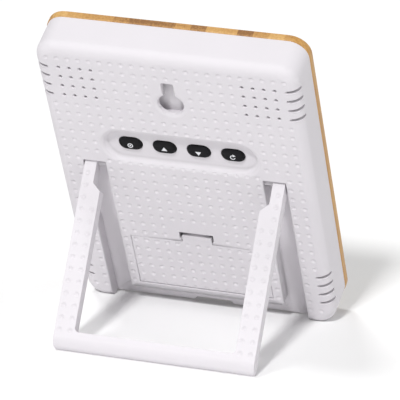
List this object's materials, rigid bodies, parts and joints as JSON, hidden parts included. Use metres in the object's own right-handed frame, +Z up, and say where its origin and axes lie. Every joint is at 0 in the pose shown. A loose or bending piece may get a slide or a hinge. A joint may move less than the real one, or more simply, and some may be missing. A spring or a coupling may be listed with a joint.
{
  "type": "carbon dioxide monitor",
  "caption": "Desk carbon dioxide monitor with a bamboo front, a dimpled plastic back, a fold-out stand, push buttons, vents, a keyhole and a battery compartment.",
  "frame": {"origin": "centre of the footprint's bounding box, on the surface that the opened stand and the back feet rest on", "axes": "+Z up, the display faces -Y and leans back, the stand opens towards +Y, X across the body"},
  "size_m": [0.1176, 0.0986, 0.1454],
  "materials": {
    "shell_plastic": "fine satin texture",
    "bamboo": "oiled satin",
    "adhesive_foam": "matt",
    "chassis_plastic": "matt",
    "lens_acrylic": "polished",
    "lcd_glass": "polished",
    "light_guide": "frosted",
    "connector_rubber": "matt",
    "circuit_board": "solder mask",
    "black_epoxy": "matt",
    "sensor_metal": "satin",
    "button_rubber": "matt",
    "cell_jacket": "printed foil",
    "contact_nickel": "plated",
    "screw_steel": "zinc plated"
  },
  "bodies": {
    "monitor_body": {"rear_shell": "shell_plastic", "front_panel": "bamboo", "panel_adhesive": "adhesive_foam", "front_carrier": "chassis_plastic", "display_lens": "lens_acrylic", "lcd_panel": "lcd_glass", "backlight_guide": "light_guide", "backlight_led": "light_guide", "lcd_connector": "connector_rubber", "main_board": "circuit_board", "controller_chip": "black_epoxy", "co2_sensor": "sensor_metal", "temp_humidity_sensor": "black_epoxy", "buzzer": "black_epoxy", "tact_switches": "black_epoxy", "battery_cell_1": "cell_jacket", "battery_cell_2": "cell_jacket", "contact_plates": "contact_nickel", "spring_contacts": "contact_nickel", "case_screws": "screw_steel", "board_screws": "screw_steel"},
    "kickstand": {"kickstand": "shell_plastic"},
    "battery_door": {"battery_door": "shell_plastic"},
    "button_set": {"button_set": "button_rubber", "plunger_set": "chassis_plastic"},
    "button_up": {"button_up": "button_rubber", "plunger_up": "chassis_plastic"},
    "button_down": {"button_down": "button_rubber", "plunger_down": "chassis_plastic"},
    "button_reset": {"button_reset": "button_rubber", "plunger_reset": "chassis_plastic"}
  },
  "joints": [
    {"name": "kickstand_hinge", "type": "hinge", "parent": "monitor_body", "child": "kickstand", "pos_m": [0, 0.00851, 0.07435], "axis": [1, 0, 0], "range_deg": [-57.5, 0]},
    {"name": "battery_door_hinge", "type": "hinge", "parent": "monitor_body", "child": "battery_door", "pos_m": [0, -0.02394, 0.01163], "axis": [-1, 0, 0], "range_deg": [0, 70]},
    {"name": "button_set_press", "type": "slide", "parent": "monitor_body", "child": "button_set", "axis": [0, -0.8776, 0.4795], "range_m": [0, 0.0005], "stiffness_N_per_m": 1500, "springref_m": -0.0003},
    {"name": "button_up_press", "type": "slide", "parent": "monitor_body", "child": "button_up", "axis": [0, -0.8776, 0.4795], "range_m": [0, 0.0005], "stiffness_N_per_m": 1500, "springref_m": -0.0003},
    {"name": "button_down_press", "type": "slide", "parent": "monitor_body", "child": "button_down", "axis": [0, -0.8776, 0.4795], "range_m": [0, 0.0005], "stiffness_N_per_m": 1500, "springref_m": -0.0003},
    {"name": "button_reset_press", "type": "slide", "parent": "monitor_body", "child": "button_reset", "axis": [0, -0.8776, 0.4795], "range_m": [0, 0.0005], "stiffness_N_per_m": 1500, "springref_m": -0.0003}
  ]
}
